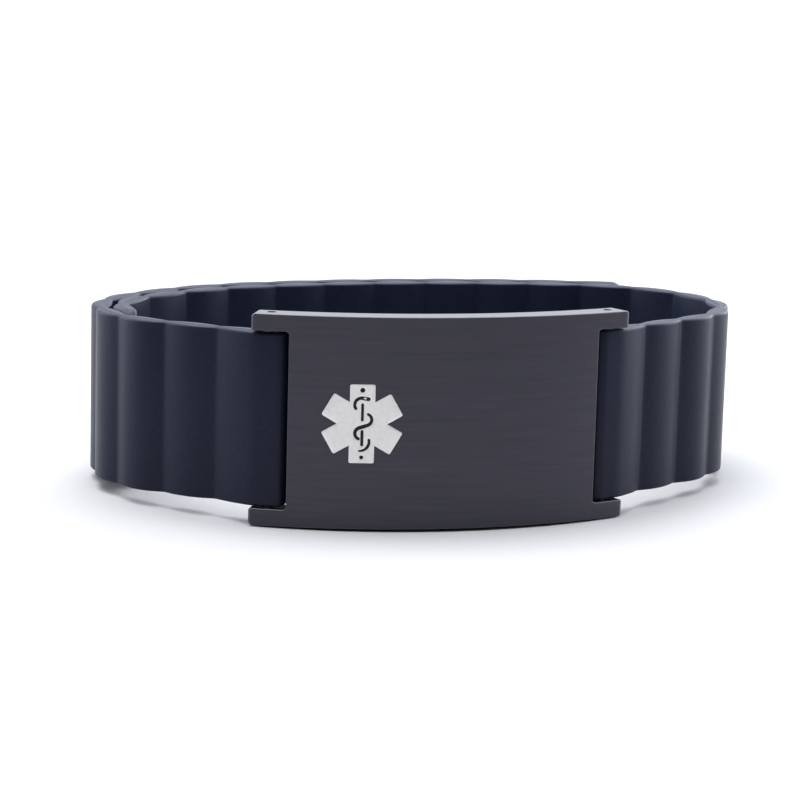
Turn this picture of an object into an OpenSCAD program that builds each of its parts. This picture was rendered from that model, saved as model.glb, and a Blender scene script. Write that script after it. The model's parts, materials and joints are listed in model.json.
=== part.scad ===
// Medical alert bracelet: a curved metal plate between two ribbed silicone straps.
// The straps close the loop by overlapping along the back, the left one outside.
// Level frame: the plate's face touches y = 0 at x = 0, its lower edge lies at z = 0.

/* [Plate] */
// Height of the plate
plate_h = 24; // [23:0.1:27]
// Width of the plate, straight across its front corners
plate_w = 44; // [40:0.5:47]
// Thickness of the plate
plate_t = 3; // [2.8:0.1:3.4]
// Radius of the plate's curved face
plate_r = 57.4; // [50:0.2:70]
// Radius of the plate's four corners
corner_r = 0.6; // [0.4:0.05:1]
// Rounding of the plate's face where it meets its ends
end_soft_r = 0.5; // [0.2:0.05:0.8]
// Length of the lugs beside each strap, along the face
lug_l = 4.35; // [4.1:0.05:4.8]
// Rounding of the lugs where the strap enters
lug_tip_r = 0.4; // [0.1:0.05:0.6]
// Rounding in the corners of the notches
notch_r = 0.4; // [0.2:0.1:0.8]
// Bevel along the plate's long edges
edge_bevel = 0.2; // [0.1:0.05:0.4]

/* [Spring bars] */
// Distance along the face from the plate's end to the bar's axis
bar_inset = 2.1; // [1.8:0.05:2.3]
// Distance from the plate's face to the bar's axis
bar_depth = 1.7; // [1.4:0.05:2]
// Diameter of the bar inside the strap
bar_d = 1.3; // [1.1:0.05:1.5]
// Diameter of the bar's two tips
tip_d = 0.85; // [0.6:0.05:1]
// Distance of each tip's end below the lug's edge
tip_recess = 0.35; // [0.1:0.05:1]
// Clearance round the bar and its tips
bar_clear = 0.08; // [0.04:0.01:0.15]

/* [Straps] */
// Width of the straps
strap_w = 19.8; // [18:0.1:20.5]
// Clearance between a strap and each lug
lug_clear = 0.15; // [0.1:0.05:0.4]
// Clearance between a strap's end and the notch's floor
nose_clear = 0.15; // [0.1:0.05:0.3]
// Thickness of a strap at the middle of a rib
rib_t = 2.4; // [2:0.1:2.8]
// Thickness of a strap in a valley
valley_t = 1.2; // [0.8:0.1:1.6]
// Distance from one valley to the next
rib_pitch = 6.72; // [6:0.02:7.4]
// Rounding of the straps' long edges
strap_edge_r = 0.35; // [0.2:0.05:0.9]
// Thickness of the round end that holds the bar
sleeve_d = 2.8; // [2.2:0.1:2.8]
// Rounding of the sleeve's corners beside the lugs
sleeve_corner_r = 0.5; // [0.3:0.1:1]
// Rounding of the corners at a strap's free end
end_corner_r = 1.6; // [0.5:0.1:3]
// Distance from the left bar to the first valley
left_first = 6.5; // [5.5:0.1:8]
// Distance from the right bar to the first valley
right_first = 6.1; // [5.5:0.1:8]
// Number of ribs on the left strap after the first valley
left_ribs = 15; // [13:1:16]
// Number of ribs on the right strap after the first valley
right_ribs = 18; // [15:1:18]
// Gap between the two layers along the back
layer_gap = 0.1; // [0.05:0.05:0.4]

/* [Loop] */
// Depth of the loop, from the plate's face to the back
loop_d = 48.65; // [46:0.05:56]
// Distance of the back's middle to the right of the plate's middle
back_x = 7.1; // [5:0.1:9]
// Radius of the back, to the middle of the outer layer
back_r = 89.4; // [80:0.2:100]
// Angle from the back's middle to the left shoulder
left_back_turn = 14.4; // [13:0.2:16]
// Radius of the left shoulder
shoulder_r = 35.5; // [32:0.5:38]
// Angle from the back's middle to the start of the left end
left_end_turn = 47.1; // [44:0.1:50]
// Radius of the left end
left_end_r = 14.2; // [13:0.1:16]
// Angle from the back's middle to the right end
right_back_turn = 13.8; // [12:0.2:16]
// Radius of the right end
right_end_r = 16; // [14.5:0.1:17]
// Straight length of a strap from its bar, in line with the plate's end
lug_lead = 1; // [0:0.1:1.5]
// Radius of the bend where a strap leaves the plate
lug_bend_r = 2; // [1.5:0.5:7]

/* [Emblem] */
// Distance of the emblem's middle from the plate's, along the face
emblem_x = 9.9; // [6:0.1:14]
// Length of each arm of the star from its middle
arm_l = 4.45; // [3:0.05:6]
// Width of the arms
arm_w = 2.83; // [2.6:0.01:3.2]
// Rounding of the arms' corners
arm_r = 0.2; // [0.05:0.05:0.4]
// Thickness of the emblem
emblem_t = 0.15; // [0.1:0.01:0.4]
// Clearance round and under the emblem
emblem_clear = 0.03; // [0.02:0.01:0.08]

/* [Hidden] */
face_facets = 360;
hole_facets = 48;
stroke_steps = 14;
sweep_past = 1;
past_share = 0.0167;
steel_black = [0.13, 0.13, 0.15];
steel_bright = [0.75, 0.75, 0.76];
silver = [0.86, 0.86, 0.86];
silicone = [0.1, 0.11, 0.15];

// Places along the plate are angles about the middle of its curve
function face_turn(s) = s / plate_r * 180 / PI;
end_angle = asin(plate_w / 2 / plate_r);
floor_angle = end_angle - face_turn(lug_l);
bar_angle = end_angle - face_turn(bar_inset);

// Where the bars and the straps sit against the plate
strap_z = plate_h / 2;
notch_h = strap_w + 2 * lug_clear;
bar_r = plate_r - bar_depth;
bar_x = bar_r * sin(bar_angle);
bar_y = plate_r - bar_r * cos(bar_angle);
nose_l = bar_r * sin(bar_angle - floor_angle) - nose_clear;
layer_step = rib_t + layer_gap;

// Shares of a rib's length at which it is drawn, and its bulge there
rib_shares = [0, 0.06, 0.16, 0.31, 0.5, 0.69, 0.84, 0.94];
function bulge(u) = 1 - pow(2 * u - 1, 2);
// Rows of share from the bar to the first valley, share of the sleeve's bulge there
first_shape = [[0.15, 1], [0.24, 1], [0.35, 0.965], [0.5, 0.86], [0.7, 0.61], [0.85, 0.34], [0.95, 0.12]];
// Rows of share along the last rib from its valley, share of its full thickness there
end_shape = [[0.65, 0.98], [0.8, 0.88], [0.9, 0.7], [0.96, 0.5], [1, 0.26]];
// Angles round the sleeve at which its nose is drawn
nose_angles = [10, 28, 48, 68, 90];

// A route is a list of straight runs [start, end] and arcs [middle, radius, first angle, last angle]
function unit(a) = [cos(a), sin(a)];
function run_length(g) = len(g) == 2 ? norm(g[1] - g[0]) : abs(g[3] - g[2]) * PI / 180 * g[1];
function on_line(g, s) = let (d = (g[1] - g[0]) / norm(g[1] - g[0])) [g[0] + d * s, d];
function on_arc(g, s) =
    let (turn = sign(g[3] - g[2]), a = g[2] + turn * s / g[1] * 180 / PI)
    [g[0] + g[1] * unit(a), turn * [-sin(a), cos(a)]];
function on_run(g, s) = len(g) == 2 ? on_line(g, s) : on_arc(g, s);
// Place and heading at a distance along a route
function along(route, s, i = 0) =
    i == len(route) - 1 || s <= run_length(route[i])
        ? on_run(route[i], s)
        : along(route, s - run_length(route[i]), i + 1);
// Angle on two circles of the straight run that leaves one for the other
function leave_angle(c0, r0, c1, r1, side) =
    let (d = c1 - c0) atan2(d[1], d[0]) + side * (90 + asin((r1 - r0) / norm(d)));
// Middle of a smaller circle that touches a larger one from inside
function inner_middle(c, r, angle, small_r) = c + (r - small_r) * unit(angle);

// The loop's arcs, to the middle of the outer layer on the left and of the inner one on the right
back_c = [back_x, loop_d - rib_t / 2 - back_r];
shoulder_c = inner_middle(back_c, back_r, 90 + left_back_turn, shoulder_r);
left_end_c = inner_middle(shoulder_c, shoulder_r, 90 + left_end_turn, left_end_r);
right_end_c = inner_middle(back_c, back_r - layer_step, 90 - right_back_turn, right_end_r);
left_bar = [-bar_x, bar_y];
right_bar = [bar_x, bar_y];
left_bend = left_bar + lug_lead * unit(180 - bar_angle);
right_bend = right_bar + lug_lead * unit(bar_angle);
left_bend_c = left_bend + lug_bend_r * unit(90 - bar_angle);
right_bend_c = right_bend + lug_bend_r * unit(90 + bar_angle);
left_leave = leave_angle(left_bend_c, lug_bend_r, left_end_c, left_end_r, 1);
right_leave = leave_angle(right_bend_c, lug_bend_r, right_end_c, right_end_r, -1);

// The serpent and its staff, in lengths of the star's arm
bend_share = 0.148;
upper_bend = [0.094, 0.108];
lower_bend = [-0.027, -0.243];
cross_turn = atan2(lower_bend[1] - upper_bend[1], lower_bend[0] - upper_bend[0])
    + acos(2 * bend_share / norm(lower_bend - upper_bend));
head_c = [-0.022, 0.483];
head_share = 0.171;
head_top = head_c + head_share * unit(82);
// Rows of route, then width at its start, middle and end
strokes = [
    [[[head_c, head_share, 215, 82], [head_top, head_top + [0.15, -0.022]]], 0.075, 0.085, 0.1],
    [[[upper_bend, bend_share, 68, cross_turn],
        [upper_bend + bend_share * unit(cross_turn), lower_bend - bend_share * unit(cross_turn)],
        [lower_bend, bend_share, cross_turn + 180, 248]], 0.07, 0.1, 0.08],
    [[[[-0.045, -0.454], 0.231, 12, -94]], 0.07, 0.08, 0.05],
    [[[[0.005, 0.1], [0.005, 0.49]]], 0.072, 0.072, 0.072],
    [[[[0.005, -0.19], [0.005, -0.53]]], 0.076, 0.076, 0.076]
];
// Rows of x, y and diameter
dots = [[0, 0.854, 0.124], [0, -0.85, 0.1]];

left_route = [
    [left_bar, left_bend],
    [left_bend_c, lug_bend_r, 270 - bar_angle, left_leave],
    [left_bend_c + lug_bend_r * unit(left_leave), left_end_c + left_end_r * unit(left_leave)],
    [left_end_c, left_end_r, left_leave, 90 + left_end_turn],
    [shoulder_c, shoulder_r, 90 + left_end_turn, 90 + left_back_turn],
    [back_c, back_r, 90 + left_back_turn, 0]
];
right_route = [
    [right_bar, right_bend],
    [right_bend_c, lug_bend_r, bar_angle - 90, right_leave],
    [right_bend_c + lug_bend_r * unit(right_leave), right_end_c + right_end_r * unit(right_leave)],
    [right_end_c, right_end_r, right_leave, 90 - right_back_turn],
    [back_c, back_r - layer_step, 90 - right_back_turn, 90 + left_back_turn],
    [shoulder_c, shoulder_r - layer_step, 90 + left_back_turn, 90 + left_end_turn],
    [left_end_c, left_end_r - layer_step, 90 + left_end_turn, 270]
];

// How far a round corner draws an edge in at a distance from the end
function draw_in(r, d) = d > r ? 0 : r - sqrt(r * r - (r - d) * (r - d));
// Rows of distance from the bar, thickness, and how far the long edges draw in
function nose_rows() = [for (a = nose_angles) let (back = sleeve_d / 2 * (1 - cos(a)))
    [back - nose_l, sleeve_d * sin(a), draw_in(sleeve_corner_r, back)]];
function end_rows(start) = [for (row = end_shape)
    [start + row[0] * rib_pitch, rib_t * row[1], draw_in(end_corner_r, (1 - row[0]) * rib_pitch)]];
function strap_rows(first, ribs) = concat(
    nose_rows(),
    [for (row = first_shape) [row[0] * first, valley_t + (sleeve_d - valley_t) * row[1], 0]],
    [for (k = [0:ribs - 1], u = rib_shares) if (k < ribs - 1 || u <= 0.5)
        [first + (k + u) * rib_pitch, valley_t + (rib_t - valley_t) * bulge(u), 0]],
    end_rows(first + (ribs - 1) * rib_pitch)
);
// A rounded rectangle, anticlockwise, as [across, up] pairs
function section(t, narrower) =
    let (r = min(strap_edge_r, 0.48 * t), a = t / 2 - r, b = strap_w / 2 - narrower - r)
    [for (corner = [[a, b, 0], [-a, b, 90], [-a, -b, 180], [a, -b, 270]], turn = [0, 45, 90])
        [corner[0], corner[1]] + r * unit(corner[2] + turn)];
function ring(route, row) =
    let (place = along(route, row[0]), across = [-place[1][1], place[1][0]])
    [for (p = section(row[1], row[2]))
        let (q = place[0] + across * p[0]) [q[0], q[1], strap_z + p[1]]];
function rings(route, rows) = [for (row = rows) each ring(route, row)];

section_n = len(section(rib_t, 0));
left_rows = strap_rows(left_first, left_ribs);
right_rows = strap_rows(right_first, right_ribs);
left_points = rings(left_route, left_rows);
right_points = rings(right_route, right_rows);

// A round corner reaches a small share of its radius past the two faces that it joins,
// so that it crosses them cleanly
function round_middle(r) = r * (1 - past_share);
function round_start(r) = round_middle(r) - sqrt(r * r - round_middle(r) * round_middle(r));

// At rest the loop leans back a little on the lugs' lower edges and the back of the strap
heel_r = plate_r - plate_t + edge_bevel;
heel_y = plate_r - heel_r * cos(end_angle - asin(round_start(corner_r) / heel_r));
strap_low = strap_z - strap_w / 2;
back_y = max([for (p = left_points) if (p[2] < strap_low + 0.001) p[1]]);
lean = atan2(strap_low, back_y - heel_y);
function lean_y(p) = heel_y + (p[1] - heel_y) * cos(lean) + p[2] * sin(lean);
loop_min_x = min([for (p = left_points) p[0]]);
loop_max_x = max([for (p = right_points) p[0]]);
loop_min_y = lean_y([0, 0, edge_bevel]);
loop_max_y = max([for (p = left_points) lean_y(p)]);
origin = [(loop_min_x + loop_max_x) / 2, (loop_min_y + loop_max_y) / 2];

module at_rest() {
    translate([-origin[0], heel_y - origin[1], 0])
        rotate([-lean, 0, 0])
            translate([0, -heel_y, 0])
                children();
}

// Plane of the plate's face at an angle from the middle, with z outward
module on_face(angle) {
    translate([0, plate_r, plate_h / 2])
        rotate([0, 0, angle])
            rotate([90, 0, 0])
                children();
}

module curved_slab() {
    inner = plate_r - plate_t;
    translate([0, plate_r, 0])
        rotate([0, 0, -90 - end_angle])
            rotate_extrude(angle = 2 * end_angle, $fn = face_facets)
                polygon([
                    [inner + edge_bevel, 0], [plate_r - edge_bevel, 0],
                    [plate_r, edge_bevel], [plate_r, plate_h - edge_bevel],
                    [plate_r - edge_bevel, plate_h], [inner + edge_bevel, plate_h],
                    [inner, plate_h - edge_bevel], [inner, edge_bevel]
                ]);
}

module rounded_rectangle(w, h, r) {
    square([w - 2 * r, h], center = true);
    square([w, h - 2 * r], center = true);
    for (x = [-1, 1], y = [-1, 1])
        translate([x * (w / 2 - r), y * (h / 2 - r)])
            circle(r = r, $fn = hole_facets);
}

// What a round corner leaves of a square one, with the round's middle at (0, 0)
module corner_waste(r) {
    difference() {
        square([r + sweep_past, r + sweep_past]);
        circle(r = r, $fn = hole_facets);
    }
}

// One notch with its mouth along +x, its floor at x = 0
module notch() {
    reach = lug_l + sweep_past;
    translate([notch_r, -notch_h / 2])
        square([reach, notch_h]);
    translate([0, notch_r - notch_h / 2])
        square([reach, notch_h - 2 * notch_r]);
    for (y = [-1, 1])
        translate([notch_r, y * (notch_h / 2 - notch_r)])
            circle(r = notch_r, $fn = hole_facets);
}

// Waste of the four corners of an end's two lugs, with the end at x = 0
module lug_corners() {
    for (y = [-1, 1])
        scale([1, y]) {
            translate([-round_middle(corner_r), plate_h / 2 - round_middle(corner_r)])
                corner_waste(corner_r);
            translate([-round_middle(lug_tip_r), notch_h / 2 + round_middle(lug_tip_r)])
                scale([1, -1])
                    corner_waste(lug_tip_r);
        }
}

// Waste of the rounding where the face meets an end
module end_softening(side) {
    on_face(side * end_angle)
        rotate([90, 0, 0])
            linear_extrude(plate_h + 2 * sweep_past, center = true)
                scale([side, 1])
                    translate([-round_middle(end_soft_r), plate_r - round_middle(end_soft_r)])
                        corner_waste(end_soft_r);
}

// A flat shape cut through the plate from its face, at an angle from the middle
module through_plate(angle, side) {
    on_face(side * angle)
        translate([0, 0, plate_r - plate_t - sweep_past])
            linear_extrude(plate_t + 2 * sweep_past)
                scale([side, 1])
                    children();
}

// The six-armed star, grown by a margin, as a prism that starts at z = 0
module star(margin) {
    for (turn = [0, 60, 120])
        rotate(90 + turn)
            linear_extrude(plate_t)
                rounded_rectangle(2 * (arm_l + margin), arm_w + 2 * margin, arm_r + margin);
}

// Outline of a line of tapering width with round ends
function stroke_length(route) = run_length(route[0]) + (len(route) > 1 ? run_length(route[1]) : 0)
    + (len(route) > 2 ? run_length(route[2]) : 0);
function stroke_width(row, u) =
    u < 0.5 ? row[1] + (row[2] - row[1]) * 2 * u : row[2] + (row[3] - row[2]) * (2 * u - 1);
function stroke_point(row, u, turn) =
    let (place = along(row[0], u * stroke_length(row[0])), facing = atan2(place[1][1], place[1][0]))
    place[0] + stroke_width(row, u) / 2 * unit(facing + turn);
function stroke_outline(row) = concat(
    [for (i = [0:stroke_steps]) stroke_point(row, i / stroke_steps, 90)],
    [for (turn = [60:-30:-60]) stroke_point(row, 1, turn)],
    [for (i = [stroke_steps:-1:0]) stroke_point(row, i / stroke_steps, -90)],
    [for (turn = [-120:-30:-240]) stroke_point(row, 0, turn)]
);

module serpent() {
    for (row = strokes)
        polygon(arm_l * stroke_outline(row));
    for (d = dots)
        translate([d[0], d[1]] * arm_l)
            circle(d = d[2] * arm_l, $fn = hole_facets);
}

emblem_angle = -emblem_x / plate_r * 180 / PI;

// Shell of the plate's face down to a depth
module face_shell(depth, proud) {
    translate([0, plate_r, 0])
        difference() {
            cylinder(r = plate_r + proud, h = plate_h, $fn = face_facets);
            translate([0, 0, -sweep_past])
                cylinder(r = plate_r - depth, h = plate_h + 2 * sweep_past, $fn = face_facets);
        }
}

module emblem() {
    color(silver)
        at_rest()
            intersection() {
                face_shell(emblem_t, 0);
                on_face(emblem_angle)
                    translate([0, 0, plate_r - plate_t / 2])
                        difference() {
                            star(0);
                            translate([0, 0, -sweep_past])
                                linear_extrude(plate_t + 2 * sweep_past)
                                    serpent();
                        }
            }
}

module bar_hole(side) {
    translate([side * bar_x, bar_y, -sweep_past])
        cylinder(d = tip_d + 2 * bar_clear, h = plate_h + 2 * sweep_past, $fn = hole_facets);
}

module id_plate() {
    color(steel_black)
        at_rest()
            difference() {
                curved_slab();
                for (side = [-1, 1]) {
                    through_plate(floor_angle, side)
                        notch();
                    through_plate(end_angle, side)
                        lug_corners();
                    end_softening(side);
                    bar_hole(side);
                }
                intersection() {
                    face_shell(emblem_t + emblem_clear, sweep_past);
                    on_face(emblem_angle)
                        translate([0, 0, plate_r - plate_t / 2])
                            star(emblem_clear);
                }
            }
}

// A swept strap with a tunnel for its bar
module strap(points, side) {
    n = section_n;
    last = len(points) / n - 1;
    sides = [for (i = [0:last - 1], k = [0:n - 1])
        let (a = i * n + k, b = i * n + (k + 1) % n)
        each [[a, a + n, b + n], [a, b + n, b]]];
    caps = [[for (k = [0:n - 1]) k], [for (k = [n - 1:-1:0]) last * n + k]];
    color(silicone)
        at_rest()
            difference() {
                polyhedron(points = points, faces = concat(sides, caps));
                translate([side * bar_x, bar_y, -sweep_past])
                    cylinder(d = bar_d + 2 * bar_clear, h = plate_h + 2 * sweep_past, $fn = hole_facets);
            }
}

module left_strap() {
    strap(left_points, -1);
}

module right_strap() {
    strap(right_points, 1);
}

// A plain pin: a thick middle in the strap, a thinner tip in each lug
module spring_bar(side) {
    shoulder_l = strap_w;
    tip_l = plate_h - 2 * tip_recess;
    color(steel_bright)
        at_rest()
            translate([side * bar_x, bar_y, plate_h / 2]) {
                cylinder(d = bar_d, h = shoulder_l, center = true, $fn = hole_facets);
                cylinder(d = tip_d, h = tip_l, center = true, $fn = hole_facets);
            }
}

module spring_bar_left() {
    spring_bar(-1);
}

module spring_bar_right() {
    spring_bar(1);
}

id_plate();
emblem();
left_strap();
right_strap();
spring_bar_left();
spring_bar_right();
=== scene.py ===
"""Looks of the medical alert bracelet: brushed black plate, silver emblem, ribbed silicone straps."""
import json
import math

import bmesh
import bpy
from mathutils import Matrix, Vector


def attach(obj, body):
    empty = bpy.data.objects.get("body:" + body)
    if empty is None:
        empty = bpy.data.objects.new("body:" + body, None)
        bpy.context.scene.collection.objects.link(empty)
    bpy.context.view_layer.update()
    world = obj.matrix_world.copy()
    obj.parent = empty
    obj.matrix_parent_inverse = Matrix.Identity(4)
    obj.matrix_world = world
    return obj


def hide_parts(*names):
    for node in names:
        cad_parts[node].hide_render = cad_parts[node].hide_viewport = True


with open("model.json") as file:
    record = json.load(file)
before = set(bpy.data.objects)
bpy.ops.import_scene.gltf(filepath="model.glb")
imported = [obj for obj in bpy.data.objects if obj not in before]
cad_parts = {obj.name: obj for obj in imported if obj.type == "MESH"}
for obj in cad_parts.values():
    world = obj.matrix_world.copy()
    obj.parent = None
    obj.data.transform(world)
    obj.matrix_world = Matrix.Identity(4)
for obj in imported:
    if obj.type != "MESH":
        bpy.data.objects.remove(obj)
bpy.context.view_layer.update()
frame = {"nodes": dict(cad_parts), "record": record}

MM = 0.001

# Plate, in millimetres in the level frame: its face touches y = 0, its lower edge z = 0
PLATE_H = 24.0
PLATE_W = 44.0
PLATE_T = 3.0
PLATE_R = 57.4
CORNER_R = 0.6
LUG_L = 4.35
LUG_TIP_R = 0.4
NOTCH_R = 0.4
PLATE_EDGE_R = 0.14
END_SOFT_R = 0.5

# Spring bars
BAR_INSET = 2.1
BAR_DEPTH = 1.7
BAR_D = 1.3
TIP_D = 0.85
BAR_CLEAR = 0.08

# Straps
STRAP_W = 19.8
LUG_CLEAR = 0.15
NOSE_CLEAR = 0.15
RIB_T = 2.4
VALLEY_T = 1.2
RIB_PITCH = 6.72
STRAP_EDGE_R = 0.35
VALLEY_SOFT = 0.25
SLEEVE_D = 2.8
SLEEVE_CORNER_R = 0.5
SLEEVE_TAPER = 0.8
LEFT_FIRST = 6.5
RIGHT_FIRST = 6.1
LEFT_RIBS = 15
RIGHT_RIBS = 18
LAYER_GAP = 0.1
END_CORNER_R = 1.6
SEAM_W = 0.16
SEAM_H = 0.03

# Largest shares of a strap's thickness that its edge rounding and its seam take
EDGE_SHARE = 0.48
SEAM_SHARE = 0.3
# Rows of place across the seam and height, as shares of its width and height
SEAM_SHAPE = ((0.5, 0), (0.25, 0.8), (0, 1), (-0.25, 0.8), (-0.5, 0))

# Loop
LOOP_D = 48.65
BACK_X = 7.1
BACK_R = 89.4
LEFT_BACK_TURN = 14.4
SHOULDER_R = 35.5
LEFT_END_TURN = 47.1
LEFT_END_R = 14.2
RIGHT_BACK_TURN = 13.8
RIGHT_END_R = 16.0
LUG_LEAD = 1.0
LUG_BEND_R = 2.0

# Emblem, and the clearance beside and under it in its recess
EMBLEM_X = 9.9
ARM_L = 4.45
ARM_W = 2.83
ARM_R = 0.2
EMBLEM_T = 0.15
EMBLEM_EDGE_R = 0.02
RECESS_SIDE = 0.05
RECESS_FLOOR = 0.03

# Fineness of the meshes: steps round curves, lengths of the facets that bend,
# how far a cutter reaches past what it cuts, and when points count as one
NOSE_STEPS = 12
FIRST_STEPS = 24
RIB_STEPS = 22
END_STEPS = 20
END_SWEEP = 88
SECTION_STEPS = 6
PLATE_CORNER_STEPS = 10
NOTCH_STEPS = 6
ROLL_STEPS = 6
STAR_STEPS = 4
STROKE_STEPS = 24
DOT_SIDES = 24
HOLE_SIDES = 32
PLATE_FACET = 0.75
EMBLEM_FACET = 0.5
PAST = 1.0
WELD = 0.0005
ON_PLANE = 0.00001

# Where the bars and the straps sit against the plate
STRAP_Z = PLATE_H / 2
NOTCH_H = STRAP_W + 2 * LUG_CLEAR
END_TURN = math.asin(PLATE_W / 2 / PLATE_R)
FLAT_HALF = PLATE_R * END_TURN
BAR_R = PLATE_R - BAR_DEPTH
BAR_TURN = END_TURN - BAR_INSET / PLATE_R
BAR_ANGLE = math.degrees(BAR_TURN)
BAR_X = BAR_R * math.sin(BAR_TURN)
BAR_Y = PLATE_R - BAR_R * math.cos(BAR_TURN)
NOSE_L = BAR_R * math.sin((LUG_L - BAR_INSET) / PLATE_R) - NOSE_CLEAR
LAYER_STEP = RIB_T + LAYER_GAP


# Routes: straight runs (start, end) and arcs (middle, radius, first angle, last angle)
def unit(angle):
    return Vector((math.cos(math.radians(angle)), math.sin(math.radians(angle))))


def run_length(run):
    if len(run) == 2:
        return (run[1] - run[0]).length
    return math.radians(abs(run[3] - run[2])) * run[1]


def on_run(run, s):
    """Place and heading at a distance along one run."""
    if len(run) == 2:
        heading = (run[1] - run[0]).normalized()
        return run[0] + heading * s, heading
    middle, radius, first, last = run
    turn = math.copysign(1, last - first)
    angle = first + turn * math.degrees(s / radius)
    return middle + radius * unit(angle), turn * unit(angle + 90)


def along(route, s):
    """Place and heading at a distance along a route."""
    for run in route[:-1]:
        if s <= run_length(run):
            return on_run(run, s)
        s -= run_length(run)
    return on_run(route[-1], s)


def leave_angle(middle_0, radius_0, middle_1, radius_1, side):
    """Angle on two circles of the straight run that leaves one for the other."""
    d = middle_1 - middle_0
    lean = math.degrees(math.asin((radius_1 - radius_0) / d.length))
    return math.degrees(math.atan2(d.y, d.x)) + side * (90 + lean)


back_c = Vector((BACK_X, LOOP_D - RIB_T / 2 - BACK_R))
shoulder_c = back_c + (BACK_R - SHOULDER_R) * unit(90 + LEFT_BACK_TURN)
left_end_c = shoulder_c + (SHOULDER_R - LEFT_END_R) * unit(90 + LEFT_END_TURN)
right_end_c = back_c + (BACK_R - LAYER_STEP - RIGHT_END_R) * unit(90 - RIGHT_BACK_TURN)
left_bar = Vector((-BAR_X, BAR_Y))
right_bar = Vector((BAR_X, BAR_Y))
left_bend = left_bar + LUG_LEAD * unit(180 - BAR_ANGLE)
right_bend = right_bar + LUG_LEAD * unit(BAR_ANGLE)
left_bend_c = left_bend + LUG_BEND_R * unit(90 - BAR_ANGLE)
right_bend_c = right_bend + LUG_BEND_R * unit(90 + BAR_ANGLE)
left_leave = leave_angle(left_bend_c, LUG_BEND_R, left_end_c, LEFT_END_R, 1)
right_leave = leave_angle(right_bend_c, LUG_BEND_R, right_end_c, RIGHT_END_R, -1)
# The left strap turns clockwise from the plate to the back, the right one the other way
if left_leave < 0:
    left_leave += 360
if right_leave > 0:
    right_leave -= 360
LEFT_ROUTE = [
    (left_bar, left_bend),
    (left_bend_c, LUG_BEND_R, 270 - BAR_ANGLE, left_leave),
    (left_bend_c + LUG_BEND_R * unit(left_leave), left_end_c + LEFT_END_R * unit(left_leave)),
    (left_end_c, LEFT_END_R, left_leave, 90 + LEFT_END_TURN),
    (shoulder_c, SHOULDER_R, 90 + LEFT_END_TURN, 90 + LEFT_BACK_TURN),
    (back_c, BACK_R, 90 + LEFT_BACK_TURN, 0),
]
RIGHT_ROUTE = [
    (right_bar, right_bend),
    (right_bend_c, LUG_BEND_R, BAR_ANGLE - 90, right_leave),
    (right_bend_c + LUG_BEND_R * unit(right_leave), right_end_c + RIGHT_END_R * unit(right_leave)),
    (right_end_c, RIGHT_END_R, right_leave, 90 - RIGHT_BACK_TURN),
    (back_c, BACK_R - LAYER_STEP, 90 - RIGHT_BACK_TURN, 90 + LEFT_BACK_TURN),
    (shoulder_c, SHOULDER_R - LAYER_STEP, 90 + LEFT_BACK_TURN, 90 + LEFT_END_TURN),
    (left_end_c, LEFT_END_R - LAYER_STEP, 90 + LEFT_END_TURN, 270),
]

# The level frame leans back to rest as the plate's upper edge does
UPPER_EDGE = next(m for m in frame["record"]["mounts"] if m["name"] == "plate_upper_edge")
LEAN = math.asin(UPPER_EDGE["axis"][1])
AT_REST = (
    Matrix.Translation(UPPER_EDGE["pos_m"])
    @ Matrix.Rotation(-LEAN, 4, "X")
    @ Matrix.Scale(MM, 4)
    @ Matrix.Translation((0, -PLATE_T / 2, -PLATE_H))
)


def placed(name, data):
    made = bpy.data.objects.new(name, data)
    bpy.context.scene.collection.objects.link(made)
    return made


def seen_now(piece):
    """A piece with its modifiers applied."""
    return piece.evaluated_get(bpy.context.evaluated_depsgraph_get())


def finished(name, shape, sharp=40):
    """An object from a shape in level millimetres, with edges sharp above an angle."""
    bmesh.ops.recalc_face_normals(shape, faces=shape.faces)
    mesh = bpy.data.meshes.new(name)
    shape.to_mesh(mesh)
    shape.free()
    mesh.transform(AT_REST)
    mesh.shade_smooth()
    mesh.set_sharp_from_angle(angle=math.radians(sharp))
    return placed(name, mesh)


# Straps
def swell(away, span):
    """Share of a rib's swelling at a distance from its valley, whose floor is a little rounded."""
    def softened(d):
        return math.sqrt(d * d + VALLEY_SOFT ** 2) - VALLEY_SOFT
    return 1 - (1 - min(1, softened(away) / softened(span))) ** 2


def draw_in(r, d):
    """How far a round corner draws an edge in at a distance from the end."""
    return 0 if d > r else r - math.sqrt(r * r - (r - d) ** 2)


def strap_rows(first, ribs):
    """Rows of distance from the bar, thickness, and how far the long edges draw in."""
    rows = []
    for i in range(1, NOSE_STEPS + 1):
        angle = math.radians(90 * i / NOSE_STEPS)
        back = SLEEVE_D / 2 * (1 - math.cos(angle))
        rows.append((back - NOSE_L, SLEEVE_D * math.sin(angle), draw_in(SLEEVE_CORNER_R, back)))
    for i in range(1, FIRST_STEPS + 1):
        s = first * math.sin(math.radians(90 * i / FIRST_STEPS))
        share = swell(first - s, SLEEVE_TAPER * first)
        rows.append((s, VALLEY_T + (SLEEVE_D - VALLEY_T) * share, 0))
    for k in range(ribs):
        steps = RIB_STEPS // 2 if k == ribs - 1 else RIB_STEPS
        for i in range(1, steps + 1):
            u = (1 - math.cos(math.pi * i / RIB_STEPS)) / 2
            share = swell(min(u, 1 - u) * RIB_PITCH, RIB_PITCH / 2)
            rows.append((first + (k + u) * RIB_PITCH, VALLEY_T + (RIB_T - VALLEY_T) * share, 0))
    for i in range(1, END_STEPS + 1):
        u = math.sin(math.radians(END_SWEEP * i / END_STEPS))
        s = first + (ribs - 0.5 + u / 2) * RIB_PITCH
        corner = draw_in(END_CORNER_R, RIB_PITCH / 2 * (1 - u))
        rows.append((s, RIB_T * math.sqrt(1 - u ** 3), corner))
    return rows


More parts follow.
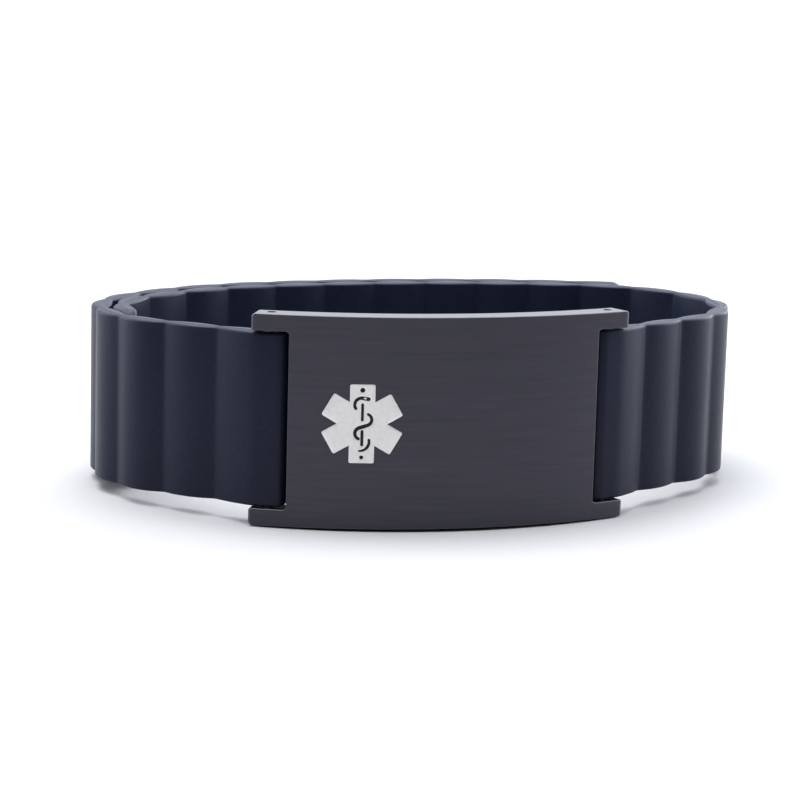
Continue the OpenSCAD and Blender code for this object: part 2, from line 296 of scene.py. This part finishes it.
def strap_section(thickness, narrower):
    """A rounded rectangle with a fine seam along its two narrow edges, as (across, up) pairs."""
    r = min(STRAP_EDGE_R, EDGE_SHARE * thickness)
    a = thickness / 2 - r
    b = STRAP_W / 2 - r - narrower - SEAM_H
    seam = min(SEAM_W, SEAM_SHARE * thickness)
    points = []
    for across, up, first in ((a, b, 0), (-a, b, 90), (-a, -b, 180), (a, -b, 270)):
        for i in range(SECTION_STEPS + 1):
            points.append(Vector((across, up)) + r * unit(first + 90 * i / SECTION_STEPS))
        if first in (0, 180):
            top = math.copysign(1, up)
            for x, h in SEAM_SHAPE:
                points.append(Vector((top * x * seam, top * (b + r + h * SEAM_H))))
    return points


def strap_mesh(name, route, first, ribs):
    """Sweeps the strap's section along its route."""
    shape = bmesh.new()
    rings = []
    for s, thickness, narrower in strap_rows(first, ribs):
        place, heading = along(route, s)
        across = Vector((-heading.y, heading.x))
        ring = []
        for p in strap_section(thickness, narrower):
            q = place + across * p.x
            ring.append(shape.verts.new((q.x, q.y, STRAP_Z + p.y)))
        rings.append(ring)
    n = len(rings[0])
    for low, high in zip(rings, rings[1:]):
        for k in range(n):
            shape.faces.new((low[k], high[k], high[(k + 1) % n], low[(k + 1) % n]))
    shape.faces.new(rings[0])
    shape.faces.new(reversed(rings[-1]))
    return finished(name, shape)


# Flat outlines that are filled, thickened and bent
def arc(x, y, r, first, last, steps):
    return [Vector((x, y)) + r * unit(first + (last - first) * i / steps) for i in range(steps + 1)]


def plate_outline():
    """The plate laid flat, with x along its curve."""
    w, lug, top = FLAT_HALF, (PLATE_H - NOTCH_H) / 2, PLATE_H
    floor_x = w - LUG_L + NOTCH_R
    right = (
        arc(w - CORNER_R, CORNER_R, CORNER_R, -90, 0, PLATE_CORNER_STEPS)
        + arc(w - LUG_TIP_R, lug - LUG_TIP_R, LUG_TIP_R, 0, 90, NOTCH_STEPS)
        + arc(floor_x, lug + NOTCH_R, NOTCH_R, 270, 180, NOTCH_STEPS)
        + arc(floor_x, top - lug - NOTCH_R, NOTCH_R, 180, 90, NOTCH_STEPS)
        + arc(w - LUG_TIP_R, top - lug + LUG_TIP_R, LUG_TIP_R, -90, 0, NOTCH_STEPS)
        + arc(w - CORNER_R, top - CORNER_R, CORNER_R, 0, 90, PLATE_CORNER_STEPS)
    )
    return right + [Vector((-p.x, p.y)) for p in reversed(right)]


def star_outline(margin):
    """The six-armed star about (0, 0), grown by a margin."""
    half = ARM_W / 2 + margin
    reach = ARM_L + margin
    r = ARM_R + margin
    between = 30
    points = []
    for k in range(6):
        turn = Matrix.Rotation(math.radians(90 + 60 * k), 2)
        lower = arc(reach - r, -half + r, r, -90, 0, STAR_STEPS)
        upper = arc(reach - r, half - r, r, 0, 90, STAR_STEPS)
        inner = half / math.sin(math.radians(between)) * unit(between)
        points += [turn @ p for p in lower + upper + [inner]]
    return points


# The serpent and its staff, in lengths of the star's arm
SERPENT_BEND_R = 0.148
UPPER_BEND = Vector((0.094, 0.108))
LOWER_BEND = Vector((-0.027, -0.243))
BEND_STEP = LOWER_BEND - UPPER_BEND
BEND_HEADING = math.degrees(math.atan2(BEND_STEP.y, BEND_STEP.x))
CROSS_TURN = BEND_HEADING + math.degrees(math.acos(2 * SERPENT_BEND_R / BEND_STEP.length))
CROSS_STEP = SERPENT_BEND_R * unit(CROSS_TURN)
HEAD_C = Vector((-0.022, 0.483))
HEAD_R = 0.171
HEAD_TOP = HEAD_C + HEAD_R * unit(82)
# Rows of route, then width at its start, middle and end
STROKES = [
    ([(HEAD_C, HEAD_R, 215, 82), (HEAD_TOP, HEAD_TOP + Vector((0.15, -0.022)))], 0.075, 0.085, 0.1),
    ([
        (UPPER_BEND, SERPENT_BEND_R, 68, CROSS_TURN),
        (UPPER_BEND + CROSS_STEP, LOWER_BEND - CROSS_STEP),
        (LOWER_BEND, SERPENT_BEND_R, CROSS_TURN + 180, 248),
    ], 0.07, 0.1, 0.08),
    ([(Vector((-0.045, -0.454)), 0.231, 12, -94)], 0.07, 0.08, 0.05),
    ([(Vector((0.005, 0.1)), Vector((0.005, 0.49)))], 0.072, 0.072, 0.072),
    ([(Vector((0.005, -0.19)), Vector((0.005, -0.53)))], 0.076, 0.076, 0.076),
]
# Angles from a stroke's heading at which its round end is drawn
STROKE_END = range(70, -71, -20)
# Rows of x, y and diameter
DOTS = [(0, 0.854, 0.124), (0, -0.85, 0.1)]
# Middle of the serpent's eye, half its width, half its height
EYE = (0.068, 0.645, 0.036, 0.02)


def stroke_outline(route, start_w, middle_w, end_w):
    """Outline of a line of tapering width with round ends."""
    length = sum(run_length(run) for run in route)

    def width(u):
        if u < 0.5:
            return start_w + (middle_w - start_w) * 2 * u
        return middle_w + (end_w - middle_w) * (2 * u - 1)

    def point(u, turn):
        place, heading = along(route, u * length)
        facing = math.degrees(math.atan2(heading.y, heading.x))
        return place + width(u) / 2 * unit(facing + turn)

    return (
        [point(i / STROKE_STEPS, 90) for i in range(STROKE_STEPS + 1)]
        + [point(1, turn) for turn in STROKE_END]
        + [point(i / STROKE_STEPS, -90) for i in range(STROKE_STEPS, -1, -1)]
        + [point(0, turn - 180) for turn in STROKE_END]
    )


def slab(outlines, thickness, edge, edge_steps):
    """A flat filled shape about z = 0, with rounded edges, as a bmesh in millimetres."""
    curve = bpy.data.curves.new("slab", "CURVE")
    curve.dimensions = "2D"
    curve.fill_mode = "BOTH"
    for outline in outlines:
        spline = curve.splines.new("POLY")
        spline.points.add(len(outline) - 1)
        for point, p in zip(spline.points, outline):
            point.co = (p.x, p.y, 0, 1)
        spline.use_cyclic_u = True
    curve.extrude = thickness / 2 - edge
    curve.bevel_depth = edge
    curve.bevel_resolution = edge_steps
    curve.offset = -edge
    holder = placed("slab", curve)
    shape = bmesh.new()
    shape.from_mesh(seen_now(holder).to_mesh())
    bpy.data.objects.remove(holder)
    bmesh.ops.remove_doubles(shape, verts=shape.verts, dist=WELD)
    return shape


def slice_across(shape, step, more=()):
    """Cuts along x at even steps and at further places, so that the shape can bend."""
    low = min(v.co.x for v in shape.verts)
    high = max(v.co.x for v in shape.verts)
    count = round((high - low) / step)
    for x in [low + (high - low) * i / count for i in range(1, count)] + list(more):
        everything = shape.verts[:] + shape.edges[:] + shape.faces[:]
        bmesh.ops.bisect_plane(
            shape, geom=everything, plane_co=(x, 0, 0), plane_no=(1, 0, 0), dist=ON_PLANE,
        )


def bend_plate(shape):
    """Flat x, y and depth to the curved plate, whose face rolls off softly at both ends."""
    for v in shape.verts:
        depth = PLATE_T / 2 - v.co.z
        into = max(0, abs(v.co.x) - FLAT_HALF + END_SOFT_R)
        roll = END_SOFT_R - math.sqrt(END_SOFT_R ** 2 - min(into, END_SOFT_R) ** 2)
        radius = PLATE_R - depth - roll * (1 - depth / PLATE_T)
        turn = v.co.x / PLATE_R
        v.co = (radius * math.sin(turn), PLATE_R - radius * math.cos(turn), v.co.y)


def bend_emblem(shape, face_depth, thickness):
    """Flat x, y about the star's middle and z, to the plate's face."""
    for v in shape.verts:
        turn = (v.co.x - EMBLEM_X) / PLATE_R
        radius = PLATE_R - face_depth - (thickness / 2 - v.co.z)
        v.co = (radius * math.sin(turn), PLATE_R - radius * math.cos(turn), STRAP_Z + v.co.y)


def bar_hole(side, diameter):
    """A round cutter along a bar's axis, in level millimetres."""
    shape = bmesh.new()
    bmesh.ops.create_cone(
        shape, cap_ends=True, segments=HOLE_SIDES, radius1=diameter / 2, radius2=diameter / 2,
        depth=PLATE_H + 2 * PAST, matrix=Matrix.Translation((side * BAR_X, BAR_Y, PLATE_H / 2)),
    )
    return shape


def cut(piece, cutters):
    """Takes cutter shapes away from a piece."""
    for shape in cutters:
        cutter = finished("cutter", shape)
        modifier = piece.modifiers.new("cut", "BOOLEAN")
        modifier.operation = "DIFFERENCE"
        modifier.solver = "EXACT"
        modifier.object = cutter
        result = bpy.data.meshes.new_from_object(seen_now(piece))
        piece.modifiers.clear()
        piece.data = result
        bpy.data.objects.remove(cutter)


def make_plate():
    shape = slab([plate_outline()], PLATE_T, PLATE_EDGE_R, edge_steps=3)
    angles = [math.radians(90 * i / ROLL_STEPS) for i in range(ROLL_STEPS)]
    roll_places = [FLAT_HALF - END_SOFT_R * (1 - math.sin(angle)) for angle in angles]
    slice_across(shape, PLATE_FACET, roll_places + [-x for x in roll_places])
    bend_plate(shape)
    sharp = 35
    plate = finished("plate", shape, sharp)
    recess = slab([star_outline(RECESS_SIDE)], PAST, edge=0, edge_steps=0)
    slice_across(recess, PLATE_FACET)
    bend_emblem(recess, EMBLEM_T + RECESS_FLOOR - PAST, PAST)
    tip_hole_d = TIP_D + 2 * BAR_CLEAR
    cut(plate, [recess, bar_hole(-1, tip_hole_d), bar_hole(1, tip_hole_d)])
    plate.data.shade_smooth()
    plate.data.set_sharp_from_angle(angle=math.radians(sharp))
    normals = plate.modifiers.new("normals", "WEIGHTED_NORMAL")
    normals.keep_sharp = True
    return plate


def make_emblem():
    outlines = [star_outline(0)]
    for row in STROKES:
        outlines.append([ARM_L * p for p in stroke_outline(*row)])
    dot_step = 360 / DOT_SIDES
    for x, y, d in DOTS:
        outlines.append([ARM_L * p for p in arc(x, y, d / 2, 0, 360 - dot_step, DOT_SIDES - 1)])
    x, y, a, b = EYE
    outlines.append([ARM_L * Vector((x + a * unit(t).x, y + b * unit(t).y)) for t in range(0, 360, 20)])
    shape = slab(outlines, EMBLEM_T, EMBLEM_EDGE_R, edge_steps=1)
    slice_across(shape, EMBLEM_FACET)
    bend_emblem(shape, 0, EMBLEM_T)
    return finished("star_emblem", shape, sharp=30)


def make_strap(side, name, route, first, ribs):
    strap = strap_mesh(name, route, first, ribs)
    cut(strap, [bar_hole(side, BAR_D + 2 * BAR_CLEAR)])
    return strap


# Materials
NOISE_LOW = 0.3
NOISE_HIGH = 0.7


def material(name):
    made = bpy.data.materials.new(name)
    made.use_nodes = True
    tree = made.node_tree
    return made, tree, tree.nodes["Principled BSDF"]


def node(tree, kind, **values):
    made = tree.nodes.new("ShaderNode" + kind)
    for key, value in values.items():
        made.inputs[key].default_value = value
    return made


def noise(tree, scale, detail):
    """Noise in the level frame, with its own scale along x, y and z."""
    place = node(tree, "TexCoord")
    level = node(tree, "Mapping", Rotation=(LEAN, 0, 0))
    stretch = node(tree, "Mapping", Scale=scale)
    grain = node(tree, "TexNoise", Scale=1.0, Detail=detail, Roughness=0.6)
    tree.links.new(place.outputs["Object"], level.inputs["Vector"])
    tree.links.new(level.outputs["Vector"], stretch.inputs["Vector"])
    tree.links.new(stretch.outputs["Vector"], grain.inputs["Vector"])
    return grain.outputs["Fac"]


def ramp(tree, value, low, high, start, end):
    """A value from low to high as the input goes from start to end."""
    made = node(tree, "MapRange")
    tree.links.new(value, made.inputs["Value"])
    for key, number in (("From Min", start), ("From Max", end), ("To Min", low), ("To Max", high)):
        made.inputs[key].default_value = number
    return made.outputs["Result"]


def product(tree, a, b):
    made = node(tree, "Math")
    made.operation = "MULTIPLY"
    tree.links.new(a, made.inputs[0])
    tree.links.new(b, made.inputs[1])
    return made.outputs["Value"]


def tint(tree, shader, grain, dark, light):
    """The shader's colour from dark to light over a noise."""
    made = node(tree, "ValToRGB")
    ends = ((NOISE_LOW, dark), (NOISE_HIGH, light))
    for element, (position, colour) in zip(made.color_ramp.elements, ends):
        element.position = position
        element.color = (*colour, 1)
    tree.links.new(grain, made.inputs["Fac"])
    tree.links.new(made.outputs["Color"], shader.inputs["Base Color"])


def roughen(tree, shader, grain, low, high):
    """The shader's roughness from low to high over a noise."""
    tree.links.new(ramp(tree, grain, low, high, NOISE_LOW, NOISE_HIGH), shader.inputs["Roughness"])


def emboss(tree, shader, grain, strength, distance):
    """A relief in the shader's surface after a noise."""
    made = node(tree, "Bump", Strength=strength, Distance=distance)
    tree.links.new(grain, made.inputs["Height"])
    tree.links.new(made.outputs["Normal"], shader.inputs["Normal"])


def brushed_black():
    made, tree, shader = material("brushed_black_steel")
    grain = noise(tree, scale=(150, 150, 9000), detail=3)
    streaks = noise(tree, scale=(90, 90, 2600), detail=3)
    tint(tree, shader, streaks, dark=(0.0615, 0.0595, 0.074), light=(0.0695, 0.0675, 0.0835))
    roughen(tree, shader, grain, low=0.34, high=0.44)
    emboss(tree, shader, grain, strength=0.3, distance=0.00001)
    shader.inputs["Metallic"].default_value = 1.0
    shader.inputs["Anisotropic"].default_value = 0.6
    shader.inputs["Anisotropic Rotation"].default_value = 0.25
    return made


# A lighter, smoother non-metal for the plate's upper and lower edge faces: a painted highlight for the
# light that falls on them
def painted_highlight_edge():
    made, tree, shader = material("edge_with_painted_highlight")
    grain = noise(tree, scale=(900, 900, 900), detail=3)
    tint(tree, shader, grain, dark=(0.09, 0.09, 0.1), light=(0.11, 0.11, 0.122))
    roughen(tree, shader, grain, low=0.3, high=0.4)
    shader.inputs["Specular IOR Level"].default_value = 0.12
    return made


def recess_black():
    made, tree, shader = material("matte_black_recess")
    grain = noise(tree, scale=(3000, 3000, 3000), detail=3)
    tint(tree, shader, grain, dark=(0.02, 0.019, 0.02), light=(0.03, 0.029, 0.03))
    roughen(tree, shader, grain, low=0.55, high=0.7)
    shader.inputs["Specular IOR Level"].default_value = 0.2
    return made


def satin_silver():
    made, tree, shader = material("satin_silver")
    grain = noise(tree, scale=(2500, 2500, 2500), detail=3)
    tint(tree, shader, grain, dark=(0.8, 0.78, 0.765), light=(0.88, 0.86, 0.845))
    roughen(tree, shader, grain, low=0.5, high=0.6)
    emboss(tree, shader, grain, strength=0.1, distance=0.00001)
    shader.inputs["Metallic"].default_value = 1.0
    return made


def silicone():
    made, tree, shader = material("dark_silicone")
    fine = noise(tree, scale=(3400, 3400, 3400), detail=3)
    broad = noise(tree, scale=(240, 240, 120), detail=4)
    tint(tree, shader, fine, dark=(0.007, 0.0098, 0.0222), light=(0.0107, 0.0138, 0.0288))
    roughen(tree, shader, broad, low=0.34, high=0.4)
    emboss(tree, shader, fine, strength=0.5, distance=0.00003)
    shader.inputs["Specular IOR Level"].default_value = 0.14
    return made


def turned_steel():
    made, tree, shader = material("turned_steel")
    rings = noise(tree, scale=(300, 300, 8000), detail=2)
    tint(tree, shader, rings, dark=(0.5, 0.5, 0.51), light=(0.62, 0.62, 0.63))
    roughen(tree, shader, rings, low=0.25, high=0.4)
    shader.inputs["Metallic"].default_value = 1.0
    return made


# Places of the plate's three materials in its list
COATED, PAINTED_HIGHLIGHT, RECESSED = range(3)


def mark_faces(plate):
    """Gives the plate's long edges a lighter material as a painted highlight, and the emblem's recess
    its own material.
    """
    level = AT_REST.inverted()
    reach = ARM_L + 2 * RECESS_SIDE
    for face in plate.data.polygons:
        middle = level @ face.center
        normal = (level.to_3x3() @ face.normal).normalized()
        off_middle = abs(middle.z - PLATE_H / 2)
        depth = PLATE_R - math.hypot(middle.x, PLATE_R - middle.y)
        near_emblem = max(abs(middle.x + EMBLEM_X), off_middle) < reach
        upright = abs(normal.z) > 0.5
        # Faces turned up or down along the long edges get the lighter material as a painted highlight
        if upright and off_middle > PLATE_H / 2 - PLATE_EDGE_R:
            face.material_index = PAINTED_HIGHLIGHT
        elif near_emblem and 0.5 * EMBLEM_T < depth < 2 * EMBLEM_T:
            face.material_index = RECESSED
        else:
            face.material_index = COATED


def dress(piece, name, *looks):
    """Puts a piece with its materials in the place of the part's node of that name."""
    piece.data.materials.clear()
    for look in looks:
        piece.data.materials.append(look)
    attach(piece, "root")
    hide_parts(name)


# Camera, in millimetres and degrees in the level frame
AIM = Vector((-5.8, 0, 14.81))
DISTANCE = 286.2
AZIMUTH = -13.14
ELEVATION = 10.17
ROLL = 1.57
LENS = 116.24
SENSOR_W = 36

# Floor, in metres: how far it reaches behind the part, and to the front and the sides
FLOOR_BACK = 0.35
FLOOR_REACH = 4.0
FLOOR_TONE = (0.33, 0.33, 0.337, 1)

# Light of the room: from darkness in front of the plate to brightness at its sides and back,
# a little stronger from the right, and weaker again from straight behind.
# Rows of low and high strength, and the shares of a direction where the change starts and ends
ROOM_TINT = (0.91, 0.935, 1, 1)
BRIGHT_SIDE = (0.15, 1.0, 0.0)
FRONT_TO_SIDES = (0.08, 4.3, -0.4, 0.2)
MIDDLE_TO_RIGHT = (1, 1.25, 0, 0.7)
SIDES_TO_BACK = (1, 0.27, 0.7, 0.86)

# Lamp overhead, in metres and watts, aimed at the part
LAMP_PLACE = Vector((-0.12, 0.0, 0.7))
LAMP_SIZE = (0.6, 0.5)
LAMP_POWER = 8.5


def make_camera():
    data = bpy.data.cameras.new("camera")
    data.lens = LENS
    data.sensor_width = SENSOR_W
    data.clip_start = 0.01
    data.clip_end = 20
    camera = placed("camera", data)
    a, e = math.radians(AZIMUTH), math.radians(ELEVATION)
    back = Vector((math.sin(a) * math.cos(e), -math.cos(a) * math.cos(e), math.sin(e)))
    camera.location = AT_REST @ (AIM + back * DISTANCE)
    facing = (-back).to_track_quat("-Z", "Y").to_matrix().to_4x4()
    level = facing @ Matrix.Rotation(math.radians(ROLL), 4, "Z")
    camera.rotation_euler = (Matrix.Rotation(-LEAN, 4, "X") @ level).to_euler()
    bpy.context.scene.camera = camera


def make_floor():
    shape = bmesh.new()
    corners = ((-1, -FLOOR_REACH), (1, -FLOOR_REACH), (1, FLOOR_BACK), (-1, FLOOR_BACK))
    shape.faces.new([shape.verts.new((x * FLOOR_REACH, y, 0)) for x, y in corners])
    mesh = bpy.data.meshes.new("floor")
    shape.to_mesh(mesh)
    shape.free()
    made, tree, shader = material("white_floor")
    shader.inputs["Base Color"].default_value = FLOOR_TONE
    shader.inputs["Roughness"].default_value = 0.7
    shader.inputs["Specular IOR Level"].default_value = 0.2
    mesh.materials.append(made)
    placed("floor", mesh)


def make_room():
    world = bpy.data.worlds.new("studio")
    bpy.context.scene.world = world
    world.use_nodes = True
    tree = world.node_tree
    background = tree.nodes["Background"]
    place = node(tree, "TexCoord")
    forward = node(tree, "VectorMath")
    forward.operation = "DOT_PRODUCT"
    forward.inputs[1].default_value = BRIGHT_SIDE
    tree.links.new(place.outputs["Generated"], forward.inputs[0])
    parts = node(tree, "SeparateXYZ")
    tree.links.new(place.outputs["Generated"], parts.inputs[0])
    tone = ramp(tree, forward.outputs["Value"], *FRONT_TO_SIDES)
    tone = product(tree, tone, ramp(tree, parts.outputs["X"], *MIDDLE_TO_RIGHT))
    tone = product(tree, tone, ramp(tree, parts.outputs["Y"], *SIDES_TO_BACK))
    background.inputs["Color"].default_value = ROOM_TINT
    tree.links.new(tone, background.inputs["Strength"])


def make_lamp():
    data = bpy.data.lights.new("top", "AREA")
    data.shape = "RECTANGLE"
    data.size, data.size_y = LAMP_SIZE
    data.energy = LAMP_POWER
    lamp = placed("top", data)
    lamp.location = LAMP_PLACE
    lamp.rotation_euler = (-LAMP_PLACE).to_track_quat("-Z", "Y").to_euler()


bpy.context.scene.view_settings.view_transform = "Standard"
make_camera()
make_floor()
make_room()
make_lamp()

plate = make_plate()
emblem = make_emblem()
left = make_strap(-1, "strap_left", LEFT_ROUTE, LEFT_FIRST, LEFT_RIBS)
right = make_strap(1, "strap_right", RIGHT_ROUTE, RIGHT_FIRST, RIGHT_RIBS)
rubber = silicone()
dress(plate, "id_plate", brushed_black(), painted_highlight_edge(), recess_black())
mark_faces(plate)
dress(emblem, "emblem", satin_silver())
dress(left, "left_strap", rubber)
dress(right, "right_strap", rubber)
steel = turned_steel()
for name in ("spring_bar_left", "spring_bar_right"):
    frame["nodes"][name].material_slots[0].material = steel
